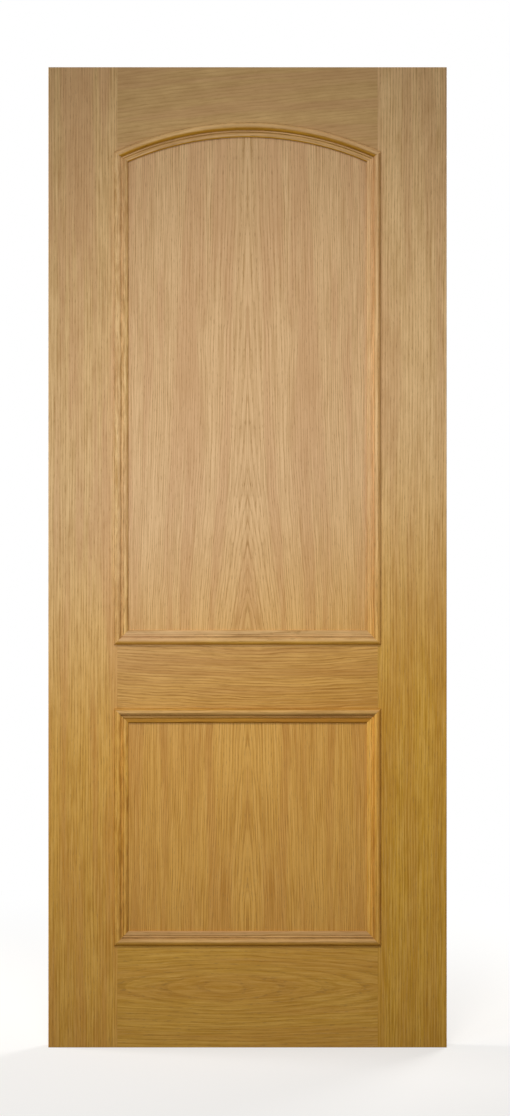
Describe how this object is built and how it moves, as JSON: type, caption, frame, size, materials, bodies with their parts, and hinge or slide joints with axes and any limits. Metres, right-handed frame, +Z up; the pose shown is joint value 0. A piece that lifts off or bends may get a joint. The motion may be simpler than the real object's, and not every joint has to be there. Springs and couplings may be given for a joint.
{
  "type": "security door leaf",
  "caption": "Oak-faced security door leaf with an arched upper panel and a square lower panel in mitred rolled mouldings, over steel sheets and a tenoned timber core.",
  "frame": {"origin": "middle of the leaf's bottom edge, at half its thickness", "axes": "+Z up the leaf, +X across it to the right as seen from the front, +Y through it from front to back"},
  "size_m": [0.825, 0.062, 2.03],
  "materials": {
    "oak_face": "oak veneer, straight grain, satin lacquer",
    "oak_panel": "book-matched crown-cut oak veneer, satin lacquer",
    "oak_moulding": "solid oak, run along the grain, satin lacquer",
    "oak_lipping": "solid oak, satin lacquer",
    "pine_core": "planed pine, bare",
    "chipboard_infill": "pressed chipboard, bare",
    "galvanised_sheet": "zinc-coated steel sheet, dull"
  },
  "bodies": {
    "root": {"front_left_stile_face": "oak_face", "front_right_stile_face": "oak_face", "front_top_rail_face": "oak_face", "front_middle_rail_face": "oak_face", "front_bottom_rail_face": "oak_face", "front_upper_panel": "oak_panel", "front_lower_panel": "oak_panel", "front_upper_moulding_arch": "oak_moulding", "front_upper_moulding_left": "oak_moulding", "front_upper_moulding_right": "oak_moulding", "front_upper_moulding_bottom": "oak_moulding", "front_lower_moulding_top": "oak_moulding", "front_lower_moulding_left": "oak_moulding", "front_lower_moulding_right": "oak_moulding", "front_lower_moulding_bottom": "oak_moulding", "front_steel_sheet": "galvanised_sheet", "back_left_stile_face": "oak_face", "back_right_stile_face": "oak_face", "back_top_rail_face": "oak_face", "back_middle_rail_face": "oak_face", "back_bottom_rail_face": "oak_face", "back_upper_panel": "oak_panel", "back_lower_panel": "oak_panel", "back_upper_moulding_arch": "oak_moulding", "back_upper_moulding_left": "oak_moulding", "back_upper_moulding_right": "oak_moulding", "back_upper_moulding_bottom": "oak_moulding", "back_lower_moulding_top": "oak_moulding", "back_lower_moulding_left": "oak_moulding", "back_lower_moulding_right": "oak_moulding", "back_lower_moulding_bottom": "oak_moulding", "back_steel_sheet": "galvanised_sheet", "left_edge_lipping": "oak_lipping", "core_left_stile": "pine_core", "right_edge_lipping": "oak_lipping", "core_right_stile": "pine_core", "core_top_rail": "pine_core", "core_lock_rail": "pine_core", "core_bottom_rail": "pine_core", "core_upper_infill": "chipboard_infill", "core_lower_infill": "chipboard_infill"}
  },
  "joints": []
}
